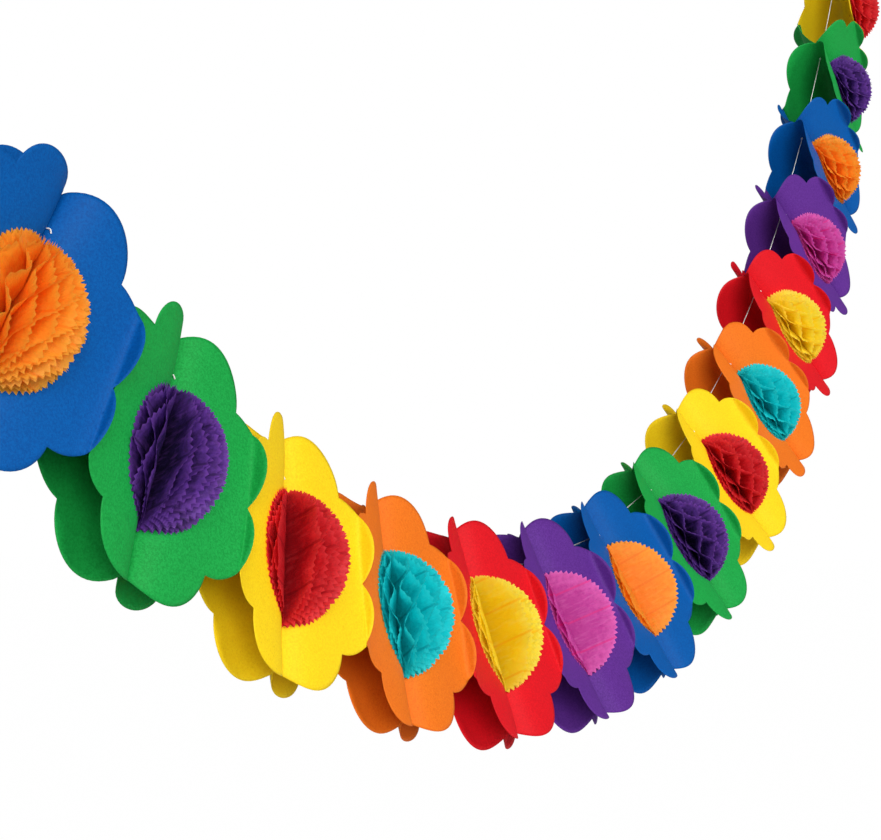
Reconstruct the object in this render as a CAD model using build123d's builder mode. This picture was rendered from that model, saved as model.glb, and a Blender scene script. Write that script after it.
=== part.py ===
from build123d import *
import os
from math import acos, asin, asinh, atan, atan2, cos, degrees, hypot, pi, radians, sin, sqrt

# A garland of flat cut flowers hung in a swag. All lengths are millimetres, all angles degrees.
# Every bloom is two folded eight-petal flower sheets, bound fold to fold round a honeycomb rosette.
# X runs along the garland to the right, Y to the back, Z up; the origin is the left hanging loop.

# Swag: a catenary, and how far the blooms lean about the thread along it
bloom_count = 15
swag_size = 975
first_knot = -742
lean_middle = -26
lean_skew = -8
lean_ends = 31.5
lean_bloom = 7

# Flower sheets
petal_count = 8
petal_steps = 5
notch_radius = 82.2
petal_rise = 14
sheet_thickness = 0.6
fold_width = 4.4
opening_angle = 12.5

# Honeycomb rosettes
rosette_radius = 49
binding_thickness = 1.2
page_count = 8
row_pitch = 14.5
row_count = 7
pocket_floor = 0.5

# Thread
thread_diameter = 1.0
thread_sides = 6
thread_hole = 2.6
thread_margin = 8
knot_diameter = 2.8
knot_length = 3
lead_length = 95
loop_radius = 7
loop_length = 26

# Sizes that follow from them
knot_height = rosette_radius + thread_margin
panel_reach = notch_radius - fold_width / 2
lean_reach = knot_height * cos(radians(lean_middle))
centre_spacing = binding_thickness + 2 * panel_reach * cos(radians(opening_angle))
bloom_pitch = centre_spacing / (1 + lean_reach / swag_size)
last_knot = first_knot + (bloom_count - 1) * bloom_pitch
petal_angle = 2 * pi / petal_count
tip_radius = notch_radius + petal_rise
petal_centre = (tip_radius**2 - notch_radius**2) / (2 * (tip_radius - notch_radius * cos(petal_angle / 2)))
petal_radius = tip_radius - petal_centre
petal_half_arc = atan2(notch_radius * sin(petal_angle / 2), notch_radius * cos(petal_angle / 2) - petal_centre)
knot_offset = binding_thickness / 2 + sheet_thickness + knot_length / 2
flower_span = 2 * tip_radius

front = Vector(0, -1, 0)


def swag_frame(run):
    """Point, direction and upward normal of the swag, a length of thread away from its lowest point."""
    slope = atan(run / swag_size)
    point = Vector(swag_size * asinh(run / swag_size), 0, swag_size * (hypot(1, run / swag_size) - 1))
    return point, Vector(cos(slope), 0, sin(slope)), Vector(-sin(slope), 0, cos(slope))


left_end, left_direction, _ = swag_frame(first_knot - lead_length)
left_loop = left_end - left_direction * loop_length


def bloom_plane(number):
    """Plane of one bloom: origin at its centre, x along the garland, z up its fold, y to the back."""
    point, along, up = swag_frame(first_knot + (number - 1) * bloom_pitch)
    place = (number - lean_bloom) / lean_bloom
    lean = radians(lean_middle + lean_skew * place + lean_ends * place**2)
    fold = up * cos(lean) + front * sin(lean)
    return Plane(origin=point - left_loop - fold * knot_height, x_dir=along, z_dir=fold)


def joint_plane(left_bloom, right_bloom):
    """Plane half way between two blooms, where their sheets are glued; it faces to the right."""
    middle = (left_bloom.origin + right_bloom.origin) / 2
    return Plane(origin=middle, z_dir=left_bloom.x_dir + right_bloom.x_dir)


def panel_directions(root, out, face, joint):
    """Direction of a half sheet away from its fold, and its outer normal.

    The half sheet swings about its fold until the notch between its two side petals reaches the joint."""
    angle = radians(opening_angle)
    if joint:
        normal = joint.z_dir if out.dot(joint.z_dir) > 0 else -joint.z_dir
        across = panel_reach * out.dot(normal)
        forward = panel_reach * face.dot(normal)
        angle = acos((joint.origin - root).dot(normal) / hypot(across, forward)) + atan2(forward, across)
    return out * cos(angle) + face * sin(angle), face * cos(angle) - out * sin(angle)


def fold_root(bloom, out, face):
    """Point where a half sheet leaves the flat of its fold."""
    return bloom.origin + out * (binding_thickness / 2) + face * (fold_width / 2)


# Half of the flower's outline, drawn flat: x away from the fold, y along it
petal_points = []
for petal in range(petal_count // 2):
    axis = (petal + 0.5) * petal_angle
    for step in range(petal_steps):
        turn = axis + petal_half_arc * (2 * step / petal_steps - 1)
        across = petal_centre * sin(axis) + petal_radius * sin(turn)
        height = petal_centre * cos(axis) + petal_radius * cos(turn)
        petal_points.append((across, height))
petal_points.append((0, -notch_radius))

with BuildSketch() as half_flower:
    with BuildLine():
        Polyline(*petal_points, close=True)
    make_face()


def flower_sheet(bloom, side, joint):
    """One flower sheet: the flat of its fold, a front and a back half, and their glued fins.

    The side is 1 for the sheet on the right of its bloom and -1 for the one on the left.
    The joint is the plane it shares with the next bloom, and None at an end of the garland."""
    out = bloom.x_dir * side
    strip_plane = Plane(origin=bloom.origin + out * (binding_thickness / 2), x_dir=bloom.z_dir, z_dir=out)
    with BuildPart() as sheet:
        with BuildSketch(strip_plane):
            Rectangle(2 * notch_radius, fold_width)
            with Locations((knot_height, 0)):
                RegularPolygon(thread_hole / 2, 4, mode=Mode.SUBTRACT)
        extrude(amount=sheet_thickness, dir=out)
        for face in (-bloom.y_dir, bloom.y_dir):
            root = fold_root(bloom, out, face)
            along, outer = panel_directions(root, out, face, joint)
            panel_plane = Plane(origin=root, x_dir=along, z_dir=along.cross(bloom.z_dir))
            with BuildSketch(panel_plane):
                add(half_flower.sketch.moved(Location((-fold_width / 2, 0, 0))))
                Rectangle(flower_span, flower_span, align=(Align.MIN, Align.CENTER), mode=Mode.INTERSECT)
            extrude(amount=sheet_thickness, dir=-outer)
        if joint:
            facing = joint.z_dir * side
            split(bisect_by=Plane(origin=joint.origin, z_dir=facing), keep=Keep.BOTTOM)
            for face in (-bloom.y_dir, bloom.y_dir):
                root = fold_root(bloom, out, face)
                along, outer = panel_directions(root, out, face, joint)
                crease = outer.cross(facing).normalized()
                if crease.dot(bloom.z_dir) < 0:
                    crease = -crease
                outward = crease.cross(facing)
                if outward.dot(face) < 0:
                    outward = -outward
                tilt = degrees(atan2(crease.dot(along), crease.dot(bloom.z_dir)))
                fin_plane = Plane(origin=root + along * panel_reach, x_dir=outward, z_dir=outward.cross(crease))
                notch_at_origin = Location((0, 0, 0), (0, 0, tilt)) * Location((-notch_radius, 0, 0))
                with BuildSketch(fin_plane):
                    add(half_flower.sketch.moved(notch_at_origin))
                    with Locations((-sheet_thickness / 2, 0)):
                        Rectangle(
                            flower_span, flower_span, align=(Align.MIN, Align.CENTER), mode=Mode.INTERSECT
                        )
                extrude(amount=sheet_thickness, dir=-facing)
    return sheet


def rosette_faces(bloom, face, directions):
    """Faces of one fan of a rosette: its flat outer pages, and the diamond pockets between all its pages.

    Neighbouring pages are glued on alternate rows, so a pocket closes one row below and above its middle."""
    up = bloom.z_dir
    last = page_count - 1
    roots = [fold_root(bloom, bloom.x_dir, face), fold_root(bloom, -bloom.x_dir, face)]
    hub = (roots[0] + roots[1]) / 2
    spread = directions[0].get_angle(directions[1])
    sideways = (directions[1] - directions[0] * directions[0].dot(directions[1])).normalized()

    def spoke(page):
        turn = radians(spread * page / last)
        return directions[0] * cos(turn) + sideways * sin(turn)

    def row_height(row):
        if row == 0:
            return -rosette_radius
        if row == row_count + 1:
            return rosette_radius
        return (row - (row_count + 1) / 2) * row_pitch

    def rim(page, row):
        """Where a page's rim crosses a row, together with the page it is glued to there."""
        height = row_height(row)
        half_width = sqrt(rosette_radius**2 - height**2)
        if row in (0, row_count + 1):
            return roots[0 if page <= page_count // 4 * 2 else 1] + up * height
        partner = page + 1 if (page + row) % 2 == 0 else page - 1
        if min(page, partner) <= 0:
            return roots[0] + directions[0] * half_width + up * height
        if max(page, partner) >= last:
            return roots[1] + directions[1] * half_width + up * height
        return hub + spoke((page + partner) / 2) * half_width + up * height

    faces = []
    for page in range(last):
        for row in range(1 + page % 2, row_count + 1, 2):
            height = row_height(row)
            floor_width = pocket_floor * sqrt(rosette_radius**2 - height**2)
            floor = hub + spoke(page + 0.5) * floor_width + up * height
            below = [rim(page, row - 1), rim(page + 1, row - 1)]
            above = [rim(page + 1, row + 1), rim(page, row + 1)]
            corners = below + [rim(page + 1, row)] + above + [rim(page, row)]
            for start, end in zip(corners, corners[1:] + corners[:1]):
                if (end - start).length > sheet_thickness / 2:
                    faces.append(Face(Wire.make_polygon([start, end, floor])))
    for page in (0, last):
        faces.append(Face(Wire.make_polygon([rim(page, row) for row in range(row_count + 2)])))
    return faces


def honeycomb_rosette(bloom, joints):
    """One rosette: a front and a back fan of glued round pages, on the strip that binds them between the folds."""
    faces = []
    for face in (-bloom.y_dir, bloom.y_dir):
        directions = []
        for out, joint in zip((bloom.x_dir, -bloom.x_dir), joints):
            root = fold_root(bloom, out, face)
            directions.append(panel_directions(root, out, face, joint)[0])
        faces += rosette_faces(bloom, face, directions)
    corners = []
    for face in (-bloom.y_dir, bloom.y_dir):
        corners.append([fold_root(bloom, bloom.x_dir, face), fold_root(bloom, -bloom.x_dir, face)])
    ends = [bloom.z_dir * -rosette_radius, bloom.z_dir * rosette_radius]
    for side in (0, 1):
        near, far = corners[0][side], corners[1][side]
        faces.append(Face(Wire.make_polygon([near + ends[0], far + ends[0], far + ends[1], near + ends[1]])))
    for end in ends:
        ring = [corners[0][0], corners[0][1], corners[1][1], corners[1][0]]
        faces.append(Face(Wire.make_polygon([corner + end for corner in ring])))
    with BuildPart() as rosette:
        add(Solid(Shell(faces)))
    return rosette


blooms = [bloom_plane(number) for number in range(1, bloom_count + 1)]
joints = [joint_plane(left, right) for left, right in zip(blooms, blooms[1:])]
left_joints = [None] + joints
right_joints = joints + [None]

for number, (bloom, left_joint, right_joint) in enumerate(zip(blooms, left_joints, right_joints), start=1):
    left_sheet = flower_sheet(bloom, -1, left_joint)
    left_sheet.part.label = f"flower_{number:02d}_left_sheet"
    export_step(left_sheet.part, f"parts/{left_sheet.part.label}.step")
    right_sheet = flower_sheet(bloom, 1, right_joint)
    right_sheet.part.label = f"flower_{number:02d}_right_sheet"
    export_step(right_sheet.part, f"parts/{right_sheet.part.label}.step")
    rosette = honeycomb_rosette(bloom, (right_joint, left_joint))
    rosette.part.label = f"rosette_{number:02d}"
    export_step(rosette.part, f"parts/{rosette.part.label}.step")

# Thread: straight and tight from knot to knot, with a knot against each bloom and a loop at each end
right_end, right_direction, _ = swag_frame(last_knot + lead_length)
knots = [left_end - left_loop]
for bloom in blooms:
    knots.append(bloom.origin + bloom.z_dir * knot_height - bloom.x_dir * knot_offset)
knots.append(right_end - left_loop)
knot_directions = [left_direction] + [bloom.x_dir for bloom in blooms] + [right_direction]
loops = [Plane(origin=knots[0], x_dir=-left_direction, z_dir=front)]
loops.append(Plane(origin=knots[-1], x_dir=right_direction, z_dir=front))
loop_angle = degrees(asin(loop_radius / loop_length))
loop_side = sqrt(loop_length**2 - loop_radius**2)

with BuildPart() as thread:
    for start, end in zip(knots, knots[1:]):
        run = (end - start).normalized() * (knot_length / 4)
        with BuildSketch(Plane(origin=start + run, z_dir=run)):
            RegularPolygon(thread_diameter / 2, thread_sides)
        extrude(amount=(end - start - run * 2).length)
    for loop in loops:
        for side in (1, -1):
            with BuildLine(loop) as half_loop:
                PolarLine((0, 0), loop_side, side * loop_angle)
                JernArc(half_loop.line @ 1, half_loop.line % 1, loop_radius, -side * (90 + loop_angle))
            with BuildSketch(Plane(origin=loop.origin, z_dir=half_loop.wire() % 0)):
                RegularPolygon(thread_diameter / 2, thread_sides)
            sweep(path=half_loop.wire())
    for knot, direction in zip(knots, knot_directions):
        with BuildSketch(Plane(origin=knot - direction * (knot_length / 2), z_dir=direction)):
            RegularPolygon(knot_diameter / 2, thread_sides)
        extrude(amount=knot_length)
thread.part.label = "thread"
export_step(thread.part, "parts/thread.step")
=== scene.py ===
"""Looks of a swag of folded paper flowers with honeycomb tissue rosettes, in metres."""
import math

import bmesh
import bpy
from mathutils import Matrix, Vector, noise


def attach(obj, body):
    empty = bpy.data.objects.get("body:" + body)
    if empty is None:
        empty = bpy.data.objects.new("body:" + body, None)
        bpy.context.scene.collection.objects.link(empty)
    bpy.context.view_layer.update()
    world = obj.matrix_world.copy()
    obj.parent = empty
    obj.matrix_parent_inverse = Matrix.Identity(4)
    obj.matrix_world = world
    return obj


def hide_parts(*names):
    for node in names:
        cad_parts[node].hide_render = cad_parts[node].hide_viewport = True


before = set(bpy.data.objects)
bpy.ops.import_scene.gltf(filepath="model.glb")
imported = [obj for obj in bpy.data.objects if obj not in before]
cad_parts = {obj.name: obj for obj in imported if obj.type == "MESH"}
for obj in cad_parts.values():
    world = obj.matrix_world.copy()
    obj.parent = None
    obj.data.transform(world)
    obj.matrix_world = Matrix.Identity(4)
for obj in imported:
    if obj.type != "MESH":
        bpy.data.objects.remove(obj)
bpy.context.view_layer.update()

MM = 0.001

# Swag, as the frame's blooms hang on it
BLOOM_COUNT = 15
SWAG_SIZE = 975 * MM
FIRST_KNOT = -742 * MM
LEAN_MIDDLE = math.radians(-26)
LEAN_SKEW = math.radians(-8)
LEAN_ENDS = math.radians(31.5)
LEAN_BLOOM = 7
FRONT = Vector((0, -1, 0))

# Flower sheets
PETALS = 8
NOTCH_RADIUS = 82.2 * MM
TIP_RADIUS = 96.2 * MM
FOLD_WIDTH = 4.4 * MM
OPENING = math.radians(12.5)
BINDING = 1.2 * MM
PRESSED_GAP = 0.2 * MM
PRESSED_SPAN = 6 * MM
FRONT_SLOPE = 1.15
BACK_SLOPE = 1.3
RIDGE_GIVE = {1: (3 * MM, 1.5 * MM), -1: (-13 * MM, 16 * MM)}
RIDGE_TIP = {1: 0.05, -1: 0.0}
RIDGE_BLOOMS = (2, 9)
FACE_SEED = 0.4
PAPER = 0.25 * MM
PAPER_GAP = 0.3 * MM
PANEL_REACH = NOTCH_RADIUS - FOLD_WIDTH / 2

# Rosettes
ROSETTE_RADIUS = 49 * MM
ROSETTE_DROP = 3.8 * MM
PAGE_COUNT = 14
CLOSED_PAGES = 4
CLOSING = 0.76
WIDE_FAN = 0.7
ROW_PITCH = 13.4 * MM
ROW_FLAT = 0.05
TOOTH_DEPTH = 3.3 * MM
TOOTH_COUNT = 34
TOOTH_UNEVEN = 0.2
TOOTH_BEAT = 2.4
CRINKLE = 1.1 * MM
CRINKLE_GRID = (90, 60)
FINE_CRINKLE = 0.4 * CRINKLE
FINE_GRID = (300, 120)
CRINKLE_START = 30 * MM
BILLOW = 2.5 * MM
BILLOW_GRID = 32
BILLOW_SEED = 5.1
PAGE_SEED = 2
ROSETTE_SEED = 31
PLACE_STEP = 0.01
PLACE_PAGES = 20
PAGE_GAP = math.radians(0.7)
PAGE_STEP = math.radians(0.1)
PAPER_CLEARANCE = 0.25 * MM
BINDING_SPAN = 1.5 * MM
BINDING_SHARE = 0.75
NEAREST_REACH = 1 * MM
FIRST_PAGE = math.radians(15)
LAST_PAGE = {1: math.radians(161), -1: math.radians(122)}

# Thread
THREAD = 1.0 * MM
KNOT_HEIGHT = 57 * MM
SOLID_SHEET = 0.6 * MM
KNOT_LENGTH = 3 * MM
KNOT_OFFSET = BINDING / 2 + SOLID_SHEET + KNOT_LENGTH / 2
LEAD_LENGTH = 95 * MM
LOOP_LENGTH = 26 * MM
LOOP_OUTLINE = ((0, 0), (10, 2.6), (20, 5.8), (27, 7.4), (33, 4.6), (33.4, 0))
KNOT_STEPS = 18
KNOT_RING = 0.75 * MM
KNOT_LIFT = 0.7 * MM
KNOT_SWAY = 0.42
STITCH = ((0.2, 0.4, 0.4), (1.2, 0.9, 0.9), (2.2, -0.4, 0.8), (2.8, -1.8, 0.3))

CENTRE_SPACING = BINDING + 2 * PANEL_REACH * math.cos(OPENING)
BLOOM_PITCH = CENTRE_SPACING / (1 + KNOT_HEIGHT * math.cos(LEAN_MIDDLE) / SWAG_SIZE)

FLOWER_COLOURS = ("blue", "green", "yellow", "orange", "red", "purple")
ROSETTE_COLOURS = ("orange", "violet", "red", "teal", "yellow", "magenta")


# Layout of the swag

def swag_frame(run):
    """Point, direction and upward normal of the swag, a length of thread away from its lowest point."""
    slope = math.atan(run / SWAG_SIZE)
    reach = run / SWAG_SIZE
    point = Vector((SWAG_SIZE * math.asinh(reach), 0, SWAG_SIZE * (math.hypot(1, reach) - 1)))
    along = Vector((math.cos(slope), 0, math.sin(slope)))
    up = Vector((-math.sin(slope), 0, math.cos(slope)))
    return point, along, up


LEFT_END, LEFT_DIRECTION, _ = swag_frame(FIRST_KNOT - LEAD_LENGTH)
LEFT_LOOP = LEFT_END - LEFT_DIRECTION * LOOP_LENGTH


class Bloom:
    """One bloom's place: its centre, the way along the garland, the way up its fold and its back."""

    def __init__(self, number):
        point, self.along, up = swag_frame(FIRST_KNOT + (number - 1) * BLOOM_PITCH)
        place = (number - LEAN_BLOOM) / LEAN_BLOOM
        lean = LEAN_MIDDLE + LEAN_SKEW * place + LEAN_ENDS * place * place
        self.number = number
        self.fold = up * math.cos(lean) + FRONT * math.sin(lean)
        self.back = self.fold.cross(self.along)
        self.centre = point - LEFT_LOOP - self.fold * KNOT_HEIGHT


class Joint:
    """The plane half way between two blooms, where their side petals are glued back to back."""

    def __init__(self, left, right):
        self.middle = (left.centre + right.centre) / 2
        self.normal = (left.along + right.along).normalized()


class HalfSheet:
    """One half of a flower sheet, from its fold to its ridge: its start, direction and outer side."""

    def __init__(self, bloom, side, face_sign, joint):
        self.seed = bloom.number * 2 + (side > 0) + face_sign * FACE_SEED
        self.out = bloom.along * side
        self.face = bloom.back * -face_sign
        self.fold = bloom.fold
        self.root = bloom.centre + self.out * (BINDING / 2) + self.face * (FOLD_WIDTH / 2)
        angle = OPENING
        self.facing = None
        if joint:
            self.facing = joint.normal * (1 if self.out.dot(joint.normal) > 0 else -1)
            across = PANEL_REACH * self.out.dot(self.facing)
            forward = PANEL_REACH * self.face.dot(self.facing)
            depth = (joint.middle - self.root).dot(self.facing)
            angle = math.acos(depth / math.hypot(across, forward)) + math.atan2(forward, across)
        self.slope = FRONT_SLOPE if face_sign == 1 else BACK_SLOPE
        self.along = self.out * math.cos(angle) + self.face * math.sin(angle)
        self.outer = self.face * math.cos(angle) - self.out * math.sin(angle)
        self.notch = self.root + self.along * PANEL_REACH
        self.tilt = 0.0
        if joint:
            crease = self.outer.cross(self.facing).normalized()
            self.crease = crease if crease.dot(self.fold) > 0 else -crease
            self.tilt = math.atan2(self.crease.dot(self.along), self.crease.dot(self.fold))
            outward = self.crease.cross(self.facing)
            self.outward = outward if outward.dot(self.face) > 0 else -outward


blooms = [Bloom(number) for number in range(1, BLOOM_COUNT + 1)]
joints = [None] + [Joint(left, right) for left, right in zip(blooms, blooms[1:])] + [None]


def along_swag(first, last, number):
    """A value that runs from one at an early bloom to another at a late one, and is level outside them."""
    early, late = RIDGE_BLOOMS
    return first + (last - first) * min(max((number - early) / (late - early), 0), 1)


def half_sheets():
    """Every half sheet by bloom, side and face, with the ridges of glued neighbours made one line."""
    halves = {}
    for bloom in blooms:
        for side in (-1, 1):
            joint = joints[bloom.number if side == 1 else bloom.number - 1]
            for face in (1, -1):
                halves[bloom.number, side, face] = HalfSheet(bloom, side, face, joint)
    for number in range(1, BLOOM_COUNT):
        for face in (1, -1):
            left, right = halves[number, 1, face], halves[number + 1, -1, face]
            outward = (left.outward + right.outward).normalized()
            give = along_swag(*RIDGE_GIVE[face], number + 0.5)
            notch = (left.notch + right.notch) / 2 + outward * give
            crease = (left.crease + right.crease).normalized() + outward * RIDGE_TIP[face]
            crease.normalize()
            for half in (left, right):
                half.notch = notch - half.facing * (PAPER_GAP / 2)
                half.crease = crease
                half.outward = (outward - crease * outward.dot(crease)).normalized()
    return halves


# Meshes

def mesh_of(build, name):
    """The mesh that is built."""
    mesh = bpy.data.meshes.new(name)
    build.to_mesh(mesh)
    build.free()
    return mesh


def finished(name, build, material, smooth=True):
    """A new object at the origin with the mesh that is built, and one material."""
    mesh = mesh_of(build, name)
    if smooth:
        mesh.shade_smooth()
    piece = bpy.data.objects.new(name, mesh)
    bpy.context.collection.objects.link(piece)
    mesh.materials.append(material)
    return piece


PETAL_ANGLE = 2 * math.pi / PETALS
NOTCH_COS = NOTCH_RADIUS * math.cos(PETAL_ANGLE / 2)
PETAL_CENTRE = (TIP_RADIUS**2 - NOTCH_RADIUS**2) / (2 * (TIP_RADIUS - NOTCH_COS))
PETAL_RADIUS = TIP_RADIUS - PETAL_CENTRE
FLOWER_STEPS = 160
FLOWER_RINGS = (0.16, 0.32, 0.46, 0.58, 0.68, 0.77, 0.85, 0.92, 0.97, 1.0)
NET_RADIUS = TIP_RADIUS * 0.93
FOLD_CUTS = (0.0, 0.8, 2.2, 4.2, 7.0)
RIDGE_CUTS = (-6.0, -2.6, -1.0, 0.0, 1.0, 2.6)
WELD = 1e-6


def petal_reach(angle):
    """Distance from the flower's centre to its edge, at an angle from the fold."""
    turn = (angle % PETAL_ANGLE) - PETAL_ANGLE / 2
    beside = PETAL_CENTRE * math.sin(turn)
    return PETAL_CENTRE * math.cos(turn) + math.sqrt(PETAL_RADIUS**2 - beside**2)


def spun(heights, axis, turn, steps, merge):
    """A flat net: a spoke of points along z, spun about its start."""
    build = bmesh.new()
    last = build.verts.new((0, 0, 0))
    for height in heights:
        last = bmesh.ops.extrude_vert_indiv(build, verts=[last])["verts"][0]
        last.co = (0, 0, height)
    bmesh.ops.spin(
        build, geom=build.verts[:] + build.edges[:], cent=(0, 0, 0), axis=axis,
        angle=turn, steps=steps, use_merge=merge,
    )
    bmesh.ops.remove_doubles(build, verts=build.verts[:], dist=WELD)
    return build


def cut(build, point, across):
    """Adds edges to a flat net along a line through a point."""
    geometry = build.verts[:] + build.edges[:] + build.faces[:]
    bmesh.ops.bisect_plane(build, geom=geometry, dist=WELD, plane_co=point, plane_no=across)


def flat_flower():
    """The flat cut flower: x across its fold, z along it, a round net that is drawn out to the petals."""
    build = spun(FLOWER_RINGS, (0, 1, 0), 2 * math.pi, FLOWER_STEPS, True)
    for vert in build.verts:
        ring = vert.co.length
        angle = math.atan2(vert.co.x, vert.co.z)
        drawn = ring**3
        reach = petal_reach(angle) * drawn + NET_RADIUS * (1 - drawn)
        vert.co = Vector((math.sin(angle), 0, math.cos(angle))) * ring * reach
    for offset in FOLD_CUTS:
        for side in (1, -1) if offset else (1,):
            cut(build, (side * offset * MM, 0, 0), (1, 0, 0))
    return build


def cut_ridge(build, half, face):
    """Adds edges along a half sheet's ridge, so that it folds on a straight line."""
    across = Vector((math.cos(half.tilt) * face, 0, -math.sin(half.tilt)))
    for offset in RIDGE_CUTS:
        cut(build, Vector((NOTCH_RADIUS * face, 0, 0)) + across * (offset * MM), across)


FOLD_SPAN = 11.5 * MM
RIDGE_SLOPE = 0.34
RIDGE_SPAN = 7 * MM
FOLD_ROUND = 2.0 * MM
RIDGE_ROUND = 1.8 * MM
CURL_START = 45 * MM
CURL_SPAN = 50 * MM
CURL_HEIGHT = 5 * MM
CURL_GRID = 14
CURL_SEED = 7.3


def eased(share):
    """A share that starts and ends softly."""
    return share * share * (3 - 2 * share)


def bow(distance, length, fold_slope):
    """How far a half sheet stands off its chord: steep out of its fold, and out again at its ridge."""
    def swell(x):
        rise = fold_slope * FOLD_SPAN * (1 - math.exp(-x / FOLD_SPAN))
        flick = math.exp((x - length) / RIDGE_SPAN) - math.exp(-length / RIDGE_SPAN)
        return rise + RIDGE_SLOPE * RIDGE_SPAN * flick
    if distance <= 0:
        return 0.0
    return swell(distance) - swell(length) * distance / length


def bend(first, corner, last, share):
    """Point on a rounded corner."""
    return first * (1 - share) ** 2 + corner * (2 * share * (1 - share)) + last * share**2


def curl(half, across, height):
    """A slow waviness of the free petals, away from what holds them."""
    free = max(0.0, (math.hypot(across, height) - CURL_START) / CURL_SPAN)
    wave = noise.noise(Vector((across * CURL_GRID, height * CURL_GRID, half.seed * CURL_SEED)))
    return half.outer * (wave * free**1.5 * CURL_HEIGHT)


def fold_point(half, height):
    """Place of a fold at a height: held apart by the rosette, and pressed to the other fold beyond it."""
    beyond = min(max((abs(height) - ROSETTE_RADIUS - ROSETTE_DROP) / PRESSED_SPAN, 0), 1)
    pressed = (BINDING / 2 - PRESSED_GAP) * eased(beyond)
    return half.root + half.fold * height - half.out * pressed


def panel_point(half, across, height):
    """Place of a point of the flat flower on a half sheet, between its fold and its ridge."""
    ridge_at = NOTCH_RADIUS + height * math.tan(half.tilt)
    distance = across - FOLD_WIDTH / 2
    length = ridge_at - FOLD_WIDTH / 2
    start = fold_point(half, height)
    swell = half.outer * bow(distance, length, half.slope) + curl(half, across, height)
    if half.facing is None:
        return start + half.along * distance + swell
    end = half.notch + half.crease * (height / math.cos(half.tilt))
    return start.lerp(end, distance / length) + swell


def sheet_point(half, across, height):
    """Place of a point of the flat flower on its half sheet, with its fold and ridge rounded."""
    edge = FOLD_WIDTH / 2
    strip = fold_point(half, height)
    if across < edge - FOLD_ROUND:
        return strip - half.face * (edge - across)
    if across < edge + FOLD_ROUND:
        share = (across - edge + FOLD_ROUND) / (2 * FOLD_ROUND)
        last = panel_point(half, edge + FOLD_ROUND, height)
        return bend(strip - half.face * FOLD_ROUND, strip, last, share)
    if half.facing is None:
        return panel_point(half, across, height)
    cosine, sine = math.cos(half.tilt), math.sin(half.tilt)
    beyond = (across - NOTCH_RADIUS) * cosine - height * sine
    beside = (across - NOTCH_RADIUS) * sine + height * cosine
    if beyond < -RIDGE_ROUND:
        return panel_point(half, across, height)
    ridge = half.notch + half.crease * beside
    if beyond > RIDGE_ROUND:
        return ridge + half.outward * beyond
    first_across = NOTCH_RADIUS - RIDGE_ROUND * cosine + beside * sine
    first_height = RIDGE_ROUND * sine + beside * cosine
    first = panel_point(half, first_across, first_height)
    share = (beyond + RIDGE_ROUND) / (2 * RIDGE_ROUND)
    return bend(first, ridge, ridge + half.outward * RIDGE_ROUND, share)


def flower_sheet(template, number, side, halves, material):
    """One folded flower sheet, bound at its fold and glued at its side petals."""
    build = bmesh.new()
    build.from_mesh(template)
    for face in (1, -1):
        if halves[face].facing is not None:
            cut_ridge(build, halves[face], face)
    for vert in build.verts:
        half = halves[1 if vert.co.x >= 0 else -1]
        vert.co = sheet_point(half, abs(vert.co.x), vert.co.z)
    bmesh.ops.recalc_face_normals(build, faces=build.faces[:])
    side_name = "right" if side == 1 else "left"
    piece = finished(f"flower_{number:02d}_{side_name}", build, material)
    thickness = piece.modifiers.new("paper", "SOLIDIFY")
    thickness.thickness = PAPER
    thickness.offset = 0
    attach(piece, "root")
    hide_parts(f"flower_{number:02d}_{side_name}_sheet")
    return piece


PAGE_RINGS = (8, 18, 28, 37, 43.5, 49)


def flat_page():
    """One flat page of a rosette, half a pinked disc: x away from the binding, z along it."""
    steps = 2 * TOOTH_COUNT
    build = spun([-ring * MM for ring in PAGE_RINGS], (0, -1, 0), math.pi, steps, False)
    for vert in build.verts:
        if vert.co.length > ROSETTE_RADIUS - 10 * WELD:
            step = round(math.atan2(vert.co.x, -vert.co.z) / (math.pi / steps))
            if step % 2 == 0:
                uneven = 1 - TOOTH_UNEVEN + TOOTH_UNEVEN * math.sin(step * TOOTH_BEAT)
                vert.co *= 1 - TOOTH_DEPTH * uneven / ROSETTE_RADIUS
    return build


def cut_rows(build, phase):
    """Adds an edge along each row where pages are glued, so that a page folds there."""
    reach = math.ceil(ROSETTE_RADIUS / ROW_PITCH)
    for row in range(-reach, reach + 1):
        height = (row - phase) * ROW_PITCH
        if abs(height) < ROSETTE_RADIUS - 1 * MM:
            cut(build, (0, 0, height), (0, 0, 1))


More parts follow.
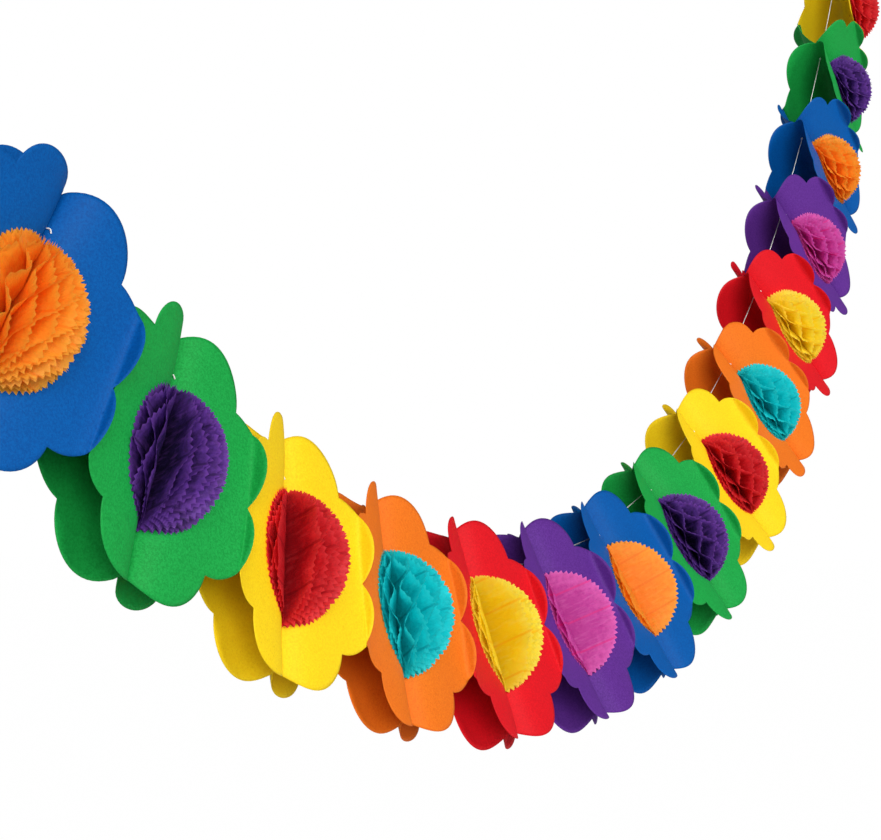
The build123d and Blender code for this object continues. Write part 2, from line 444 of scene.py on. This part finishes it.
class Fan:
    """Where the pages of one fan stand, as shares of the way from the right sheet to the left one.

    The open pages run up to one share, and the closed ones stand close together from another share on.
    With a spread below 1 the first open pages stand further apart than the last ones."""

    def __init__(self, opened, closed_from, closed_count, spread=1.0):
        open_count = PAGE_COUNT - closed_count
        self.first_closed = open_count
        self.glued_across = opened > WIDE_FAN
        self.shares = [opened * (page / (open_count - 1)) ** spread for page in range(open_count)]
        for page in range(closed_count):
            self.shares.append(closed_from + (1 - closed_from) * page / (closed_count - 1))

    def glued(self, page, row):
        """Share of a page at a glued row: drawn to the page that it is glued to there."""
        partner = page + 1 if (page + row) % 2 == 0 else page - 1
        if partner < 0 or partner >= PAGE_COUNT:
            return self.shares[page]
        if not self.glued_across and max(page, partner) == self.first_closed:
            return self.shares[page]
        if min(page, partner) == 0:
            return self.shares[page] * (1 - CLOSING)
        if max(page, partner) == PAGE_COUNT - 1:
            return 1 - (1 - self.shares[page]) * (1 - CLOSING)
        middle = (self.shares[page] + self.shares[partner]) / 2
        return middle + (self.shares[page] - middle) * (1 - CLOSING)

    def share(self, page, height, phase):
        """Share of a page at a height along the binding: a soft wave from one glued row to the next."""
        rows = height / ROW_PITCH + phase
        row = math.floor(rows)
        part = min(max((rows - row - ROW_FLAT) / (1 - 2 * ROW_FLAT), 0), 1)
        part = (part + eased(part)) / 2
        return self.glued(page, row) * (1 - part) + self.glued(page, row + 1) * part


def panel_angle(half, hub, reach, height):
    """Angle from a half sheet's way out at which its panel is met, a reach away from the binding."""
    reach = max(reach, NEAREST_REACH)
    chord = reach
    for _ in range(4):
        spoke = panel_point(half, FOLD_WIDTH / 2 + chord, height) - hub
        chord *= reach / spoke.length
    return math.atan2(spoke.dot(half.face), spoke.dot(half.out))


def page_walls(template, bloom, halves, face, hub):
    """The first and the last angle that the room between the two sheets leaves to each point of a page."""
    walls = []
    for vert in template.vertices:
        reach, height = vert.co.x, vert.co.z
        spot = hub + bloom.fold * height
        first = panel_angle(halves[1, face], spot, reach, height - ROSETTE_DROP)
        last = math.pi - panel_angle(halves[-1, face], spot, reach, height - ROSETTE_DROP)
        gap = max(PAGE_GAP, math.atan(PAPER_CLEARANCE / max(reach, NEAREST_REACH)))
        walls.append((max(first + gap, FIRST_PAGE), min(last - gap, LAST_PAGE[face])))
    return walls


def wrinkle(bloom, face, page, reach, height, share):
    """Angle by which a page crinkles and billows at one of its points."""
    seed = bloom.number * ROSETTE_SEED + page * PAGE_SEED + face
    push = noise.noise(Vector((reach * CRINKLE_GRID[0], height * CRINKLE_GRID[1], seed))) * CRINKLE
    push += noise.noise(Vector((reach * FINE_GRID[0], height * FINE_GRID[1], seed))) * FINE_CRINKLE
    seed = bloom.number * BILLOW_SEED + face
    billow = noise.noise(Vector((reach * BILLOW_GRID, height * BILLOW_GRID, seed))) * BILLOW
    push += billow * 4 * share * (1 - share)
    return push * min(reach / CRINKLE_START, 1) / ROSETTE_RADIUS


def rosette(template, bloom, halves, fans, phase, material):
    """One honeycomb rosette: a front and a back fan of pages that are glued on alternate rows."""
    build = bmesh.new()
    rows = build.verts.layers.float.new("row")
    places = build.verts.layers.float_vector.new("page_place")
    middle = bloom.centre - bloom.fold * ROSETTE_DROP
    for face in (1, -1):
        ahead = halves[1, face].face
        fan = Fan(*fans[face])
        hub = middle + ahead * (FOLD_WIDTH / 2)
        walls = page_walls(template, bloom, halves, face, hub)
        for page in range(PAGE_COUNT):
            start = len(build.verts)
            build.from_mesh(template)
            build.verts.ensure_lookup_table()
            offset = bloom.along * (BINDING * (0.5 - page / (PAGE_COUNT - 1)) * BINDING_SHARE)
            key = (page + bloom.number * PLACE_PAGES) * face * PLACE_STEP
            for index, vert in enumerate(build.verts[start:]):
                reach, height = vert.co.x, vert.co.z
                vert[rows] = height / ROW_PITCH + phase
                vert[places] = (reach, height, key)
                share = fan.share(page, height, phase)
                first, last = walls[index]
                angle = first + (last - first) * share
                if 0 < page < PAGE_COUNT - 1:
                    angle += wrinkle(bloom, face, page, reach, height, share)
                    lowest = first + page * PAGE_STEP
                    highest = last - (PAGE_COUNT - 1 - page) * PAGE_STEP
                    angle = min(max(angle, lowest), highest)
                turned = bloom.along * math.cos(angle) + ahead * math.sin(angle)
                base = hub + offset * max(1 - reach / BINDING_SPAN, 0)
                vert.co = base + bloom.fold * height + turned * reach
    piece = finished(f"rosette_{bloom.number:02d}_pages", build, material, smooth=False)
    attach(piece, "root")
    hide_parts(f"rosette_{bloom.number:02d}")
    return piece


# Materials

def linear(red, green, blue):
    """Linear colour from the 0 to 255 numbers of a screen colour."""
    def channel(value):
        value /= 255
        return value / 12.92 if value <= 0.04045 else ((value + 0.055) / 1.055) ** 2.4
    return channel(red), channel(green), channel(blue)


class Value:
    """A shader number: arithmetic on it adds Math nodes."""

    def __init__(self, tree, socket):
        self.tree = tree
        self.socket = socket

    def math(self, operation, other, swap=False):
        """The result of a Math node that takes this number and another one."""
        node = self.tree.nodes.new("ShaderNodeMath")
        node.operation = operation
        pair = (other, self) if swap else (self, other)
        for slot, item in zip(node.inputs, pair):
            if isinstance(item, Value):
                self.tree.links.new(item.socket, slot)
            else:
                slot.default_value = item
        return Value(self.tree, node.outputs[0])

    def __add__(self, other):
        return self.math("ADD", other)

    def __mul__(self, other):
        return self.math("MULTIPLY", other)

    def __sub__(self, other):
        return self.math("SUBTRACT", other)

    def __rsub__(self, other):
        return self.math("SUBTRACT", other, swap=True)

    def __pow__(self, other):
        return self.math("POWER", other)

    __radd__ = __add__
    __rmul__ = __mul__


class Shader:
    """A material under construction."""

    def __init__(self, name):
        self.material = bpy.data.materials.new(name)
        self.material.use_nodes = True
        self.tree = self.material.node_tree
        self.principled = self.tree.nodes["Principled BSDF"]
        self.output = self.tree.nodes["Material Output"]

    def node(self, kind, settings=(), **sockets):
        """Adds a node: its settings, then the values or links of its sockets, by name with _ for spaces."""
        node = self.tree.nodes.new("ShaderNode" + kind)
        for key, value in dict(settings).items():
            setattr(node, key, value)
        for key, value in sockets.items():
            self.feed(node.inputs[key.replace("_", " ")], value)
        return node

    def feed(self, socket, value):
        """Links a value to a socket, or sets the socket to a plain number, vector or colour."""
        if isinstance(value, Value):
            self.tree.links.new(value.socket, socket)
        elif isinstance(value, bpy.types.NodeSocket):
            self.tree.links.new(value, socket)
        else:
            socket.default_value = value

    def set(self, **sockets):
        """Feeds sockets of the principled surface, by name with _ for spaces."""
        for key, value in sockets.items():
            self.feed(self.principled.inputs[key.replace("_", " ")], value)

    def value(self, socket):
        return Value(self.tree, socket)

    def place(self):
        """Place on the piece, in metres."""
        return self.node("TexCoord").outputs["Object"]

    def noise(self, vector, scale, detail=2.0, roughness=0.5):
        """Soft noise between 0 and 1."""
        node = self.node("TexNoise", Vector=vector, Scale=scale, Detail=detail, Roughness=roughness)
        return self.value(node.outputs["Fac"])

    def mix(self, share, first, last):
        """A colour that goes from the first to the last with a share."""
        node = self.node("Mix", {"data_type": "RGBA"})
        self.feed(node.inputs["Factor"], share)
        self.feed(node.inputs[6], (*first, 1) if isinstance(first, tuple) else first)
        self.feed(node.inputs[7], (*last, 1) if isinstance(last, tuple) else last)
        return node.outputs[2]

    def stretched(self, vector, factors):
        """A vector with each of its parts multiplied by a factor."""
        node = self.node("VectorMath", {"operation": "MULTIPLY"})
        self.feed(node.inputs[0], vector)
        self.feed(node.inputs[1], factors)
        return node.outputs[0]

    def blend(self, other, share):
        """Mixes a share of another surface into the principled one."""
        mixed = self.node("MixShader", Fac=share)
        self.feed(mixed.inputs[1], self.principled.outputs[0])
        self.feed(mixed.inputs[2], other.outputs[0])
        self.tree.links.new(mixed.outputs[0], self.output.inputs["Surface"])

    def band(self, value, low, high):
        """0 below low, 1 above high, straight between."""
        node = self.node("MapRange")
        self.feed(node.inputs["Value"], value)
        node.inputs["From Min"].default_value = low
        node.inputs["From Max"].default_value = high
        return self.value(node.outputs["Result"])


def scaled(colour, factor):
    """A colour made lighter or darker."""
    return tuple(min(channel * factor, 1.0) for channel in colour)


def paper_material(name, colour, deep):
    """Dyed craft paper: soft satin, with a fine grain of lighter and deeper fibres."""
    shader = Shader(name)
    place = shader.place()
    grain = shader.noise(place, scale=620, detail=4, roughness=0.8)
    cloud = shader.noise(place, scale=60)
    speck = shader.band(shader.noise(place, scale=800, detail=1), 0.6, 0.7)
    body = shader.mix(shader.band(grain, 0.4, 0.6), deep, colour)
    body = shader.mix(cloud * 0.2, body, scaled(colour, 1.06))
    body = shader.mix(speck * 0.3, body, scaled(deep, 0.7))
    bump = shader.node("Bump", Height=grain.socket, Strength=0.12, Distance=0.6 * MM)
    shader.set(
        Base_Color=body, Roughness=shader.band(grain, 0.3, 0.7) * 0.1 + 0.5,
        Normal=bump.outputs["Normal"], Specular_IOR_Level=0.12,
    )
    return shader.material


def tissue_material(name, colour, deep, painted_highlight_colour, glue, through):
    """Thin dyed tissue with light through it: crinkled, with painted shade near the binding and painted
    highlights along its creases, at its rim and on its tooth tips.
    """
    shader = Shader(name)
    page = shader.node("Attribute", {"attribute_name": "page_place"}).outputs["Vector"]
    along = shader.stretched(page, (0.22, 1.0, 9.0))
    length = shader.node("VectorMath", {"operation": "LENGTH"})
    shader.feed(length.inputs[0], shader.stretched(page, (1.0, 1.0, 0.0)))
    radius = shader.value(length.outputs["Value"])
    crease = shader.noise(along, scale=330, detail=3, roughness=0.6)
    crinkle = shader.noise(shader.place(), scale=240, detail=4, roughness=0.65)
    relief = crease * 0.6 + crinkle * 0.4
    cloud = shader.noise(page, scale=60)
    body = shader.mix(shader.band(crinkle, 0.35, 0.62), deep, colour)
    # Painted shade: the pages turn to the deep colour towards the binding, where the cells between them lie
    # in shade.
    heart = shader.band(radius + cloud * (12 * MM), 50 * MM, 26 * MM)
    body = shader.mix(heart * 0.8, body, deep)
    # Painted highlights along the radial creases, in the pale colour.
    body = shader.mix(shader.band(crease, 0.5, 0.72) * 0.4, body, painted_highlight_colour)
    # Painted highlight: the pages turn paler towards their rim.
    rim_highlight = shader.band(radius + cloud * (16 * MM), 42 * MM, 56 * MM)
    body = shader.mix(rim_highlight * 0.4, body, painted_highlight_colour)
    # Painted highlight: the tooth tips at the very edge are paler still.
    tooth_tip_highlight = shader.band(radius, 45.5 * MM, 49 * MM)
    body = shader.mix(tooth_tip_highlight * 0.55, body, painted_highlight_colour)
    row = shader.node("Attribute", {"attribute_name": "row"}).outputs["Fac"]
    off_row = shader.value(row).math("PINGPONG", 1.0)
    body = shader.mix(shader.band(off_row, 0.085, 0.05) * 0.5, body, glue)
    bump = shader.node("Bump", Height=relief.socket, Strength=0.7, Distance=1.8 * MM)
    shader.set(Base_Color=body, Roughness=0.5, Normal=bump.outputs["Normal"], Specular_IOR_Level=0.3)
    glow = shader.node("BsdfTranslucent", Color=body, Normal=bump.outputs["Normal"])
    shader.blend(glow, through)
    return shader.material


def thread_material():
    """White twisted cotton."""
    shader = Shader("white_thread")
    fuzz = shader.noise(shader.place(), scale=2500)
    body = shader.mix(fuzz, (0.8, 0.78, 0.74), (0.95, 0.94, 0.91))
    bump = shader.node("Bump", Height=fuzz.socket, Strength=0.4, Distance=0.4 * MM)
    shader.set(Base_Color=body, Roughness=0.75, Normal=bump.outputs["Normal"])
    return shader.material


# Dye and its deeper fibres
PAPERS = {
    "blue": (linear(0, 92, 170), linear(0, 76, 150)),
    "green": (linear(30, 168, 74), linear(18, 142, 58)),
    "yellow": (linear(250, 216, 30), linear(242, 200, 18)),
    "orange": (linear(238, 122, 30), linear(228, 106, 22)),
    "red": (linear(224, 22, 34), linear(204, 14, 26)),
    "purple": (linear(100, 50, 146), linear(82, 36, 126)),
}
# Dye, a deeper tone for its crinkles and for painted shade near the binding, a pale colour for painted
# highlights on its creases, rim and tooth tips, its glue lines and the share of light that comes through
TISSUES = {
    "orange": (
        linear(255, 172, 44), linear(255, 150, 34), linear(255, 190, 72), linear(250, 130, 22), 0.4,
    ),
    "violet": (
        linear(90, 54, 150), linear(38, 31, 68), linear(156, 92, 212), linear(32, 26, 58), 0.42,
    ),
    "red": (
        linear(232, 38, 48), linear(200, 26, 38), linear(252, 78, 84), linear(172, 14, 28), 0.42,
    ),
    "teal": (
        linear(0, 228, 232), linear(0, 208, 214), linear(64, 234, 238), linear(0, 164, 176), 0.4,
    ),
    "yellow": (
        linear(255, 238, 42), linear(255, 226, 28), linear(255, 246, 112), linear(255, 200, 12), 0.42,
    ),
    "magenta": (
        linear(232, 88, 190), linear(208, 56, 166), linear(246, 128, 212), linear(248, 36, 142), 0.4,
    ),
}


# Pieces

def knot_route(point, direction):
    """A closed trefoil about a point of the thread, as a tied knot."""
    side = direction.cross(FRONT).normalized()
    across = direction.cross(side)
    route = []
    for step in range(KNOT_STEPS):
        turn = 2 * math.pi * step / KNOT_STEPS
        ring = (1 + KNOT_SWAY * math.cos(3 * turn)) * KNOT_RING
        place = side * (math.cos(2 * turn) * ring) + across * (math.sin(2 * turn) * ring)
        route.append(point + place + direction * (math.sin(3 * turn) * KNOT_LIFT))
    return route


def stitch_route(half):
    """A short stitch in front of a fold, where the thread has gone through it."""
    route = []
    for across, height, lift in STITCH:
        spot = panel_point(half, FOLD_WIDTH / 2 + across * MM, KNOT_HEIGHT + height * MM)
        route.append(spot + half.outer * (lift * MM))
    return route


def loop_route(point, direction):
    """A loop to hang the garland by, from an end knot and back to it."""
    side = direction.cross(FRONT).normalized()
    outline = list(LOOP_OUTLINE) + [(reach, -width) for reach, width in reversed(LOOP_OUTLINE[:-1])]
    return [point + direction * (reach * MM) + side * (width * MM) for reach, width in outline]


def thread(material, halves):
    """The thread: straight from knot to knot, with a knot and a stitch at each bloom and two end loops."""
    last_run = FIRST_KNOT + (BLOOM_COUNT - 1) * BLOOM_PITCH + LEAD_LENGTH
    right_end, right_direction, _ = swag_frame(last_run)
    points = [LEFT_END - LEFT_LOOP]
    directions = [LEFT_DIRECTION]
    for bloom in blooms:
        points.append(bloom.centre + bloom.fold * KNOT_HEIGHT - bloom.along * KNOT_OFFSET)
        directions.append(bloom.along)
    points.append(right_end - LEFT_LOOP)
    directions.append(right_direction)
    curve = bpy.data.curves.new("thread_run", "CURVE")
    curve.dimensions = "3D"
    curve.bevel_depth = THREAD / 2
    curve.bevel_resolution = 2

    def spline(route, cyclic=False, smooth=True):
        line = curve.splines.new("NURBS" if smooth else "POLY")
        line.points.add(len(route) - 1)
        for target, point in zip(line.points, route):
            target.co = (*point, 1)
        line.use_cyclic_u = cyclic
        if smooth:
            line.order_u = 3
            line.use_endpoint_u = not cyclic

    spline(points, smooth=False)
    for point, direction in zip(points, directions):
        spline(knot_route(point, direction), cyclic=True)
    for bloom in blooms:
        spline(stitch_route(halves[bloom.number, 1, 1]))
    spline(loop_route(points[0], -directions[0]))
    spline(loop_route(points[-1], directions[-1]))
    piece = bpy.data.objects.new("thread_run", curve)
    bpy.context.collection.objects.link(piece)
    curve.materials.append(material)
    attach(piece, "root")
    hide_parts("thread")
    return piece


# Front fans by bloom, as Fan takes them
FANS = {
    1: (0.8, 0.95, 3, 0.85), 2: (0.69, 0.84, 4, 0.8), 3: (0.7, 0.93, 4, 0.75), 4: (0.82, 0.945, 4, 0.85),
    5: (0.62, 0.94, 4, 0.8), 6: (0.27, 0.95, 3), 7: (0.25, 0.955, 3),
}
OTHER_FAN = (0.92, 0.955, CLOSED_PAGES)
LEVEL_ROWS = (6, 7)
ROW_SHIFT = 0.37


def garland():
    """All the blooms and their thread."""
    halves = half_sheets()
    papers = {name: paper_material(name + "_paper", *colours) for name, colours in PAPERS.items()}
    tissues = {name: tissue_material(name + "_tissue", *colours) for name, colours in TISSUES.items()}
    flower = mesh_of(flat_flower(), "flat_flower")
    for bloom in blooms:
        number = bloom.number
        colour = FLOWER_COLOURS[(number - 1) % len(FLOWER_COLOURS)]
        heart = ROSETTE_COLOURS[(number - 1) % len(ROSETTE_COLOURS)]
        for side in (-1, 1):
            pair = {face: halves[number, side, face] for face in (1, -1)}
            piece = flower_sheet(flower, number, side, pair, papers[colour])
        phase = 0.0 if number in LEVEL_ROWS else (number * ROW_SHIFT) % 1.0
        page = flat_page()
        cut_rows(page, phase)
        page_mesh = mesh_of(page, "flat_page")
        own = {(side, face): halves[number, side, face] for side in (-1, 1) for face in (1, -1)}
        fans = {1: FANS.get(number, OTHER_FAN), -1: OTHER_FAN}
        piece = rosette(page_mesh, bloom, own, fans, phase, tissues[heart])
    thread(thread_material(), halves)


# Scene

CAMERA_PLACE = Vector((-1668.0, -719.5, 145.6)) * MM
CAMERA_YAW = 1.1240
CAMERA_PITCH = -0.0100
CAMERA_ROLL = -0.0325
PHOTO_WIDTH = 881
FOCAL_PIXELS = 2096.0
SENSOR_WIDTH = 36
WORLD_LIGHT = 0.15
FLOOR_HEIGHT = -1.6
FLOOR_SIZE = 30

# The way that each sun shines, its width and its strength
KEY_SUN = (Vector((0.04, 0.88, -0.44)), math.radians(24), 1.5)
FILL_SUN = (Vector((0.76, 0.6, -0.3)), math.radians(36), 1.85)


def camera():
    """The camera of the photograph, worked out from how the swag runs across it."""
    data = bpy.data.cameras.new("camera")
    data.sensor_width = SENSOR_WIDTH
    data.lens = SENSOR_WIDTH * FOCAL_PIXELS / PHOTO_WIDTH
    data.clip_start = 0.05
    data.clip_end = 50
    ahead = Vector((
        math.sin(CAMERA_YAW) * math.cos(CAMERA_PITCH),
        math.cos(CAMERA_YAW) * math.cos(CAMERA_PITCH),
        math.sin(CAMERA_PITCH),
    ))
    right = ahead.cross(Vector((0, 0, 1))).normalized()
    up = right.cross(ahead)
    right, up = (
        right * math.cos(CAMERA_ROLL) + up * math.sin(CAMERA_ROLL),
        up * math.cos(CAMERA_ROLL) - right * math.sin(CAMERA_ROLL),
    )
    place = Matrix((right, up, -ahead)).transposed().to_4x4()
    place.translation = CAMERA_PLACE - LEFT_LOOP
    viewer = bpy.data.objects.new("camera", data)
    viewer.matrix_world = place
    bpy.context.collection.objects.link(viewer)
    bpy.context.scene.camera = viewer


def sun(name, direction, softness, strength):
    """A far lamp that shines along a direction."""
    data = bpy.data.lights.new(name, "SUN")
    data.angle = softness
    data.energy = strength
    light = bpy.data.objects.new(name, data)
    light.rotation_mode = "QUATERNION"
    light.rotation_quaternion = direction.to_track_quat("-Z", "Y")
    bpy.context.collection.objects.link(light)


def white_world():
    """Plain white all round: pure white to the camera, and weak as a light."""
    world = bpy.data.worlds.new("studio")
    world.use_nodes = True
    bpy.context.scene.world = world
    nodes, links = world.node_tree.nodes, world.node_tree.links
    background = nodes["Background"]
    background.inputs["Color"].default_value = (1, 1, 1, 1)
    rays = nodes.new("ShaderNodeLightPath")
    seen = nodes.new("ShaderNodeMath")
    seen.operation = "MAXIMUM"
    links.new(rays.outputs["Is Camera Ray"], seen.inputs[0])
    links.new(rays.outputs["Is Transmission Ray"], seen.inputs[1])
    level = nodes.new("ShaderNodeMapRange")
    level.inputs["To Min"].default_value = WORLD_LIGHT
    level.inputs["To Max"].default_value = 1.0
    links.new(seen.outputs[0], level.inputs["Value"])
    links.new(level.outputs["Result"], background.inputs["Strength"])


def floor(height):
    """A pale floor, well below the hanging garland: white to the camera, and matt for all other light."""
    bpy.ops.mesh.primitive_plane_add(size=FLOOR_SIZE, location=(1, 0, height))
    ground = bpy.context.object
    ground.name = "floor"
    shader = Shader("pale_floor")
    shader.set(Base_Color=(0.9, 0.9, 0.9, 1), Roughness=0.9)
    rays = shader.node("LightPath")
    glow = shader.node("Emission", Color=(1, 1, 1, 1), Strength=1.0)
    shader.blend(glow, shader.value(rays.outputs["Is Camera Ray"]) * 0.995)
    ground.data.materials.append(shader.material)


def studio():
    """The camera, the lamps and the white surroundings."""
    camera()
    sun("key", *KEY_SUN)
    sun("fill", *FILL_SUN)
    floor(FLOOR_HEIGHT)
    white_world()
    bpy.context.scene.view_settings.view_transform = "Standard"


studio()
garland()
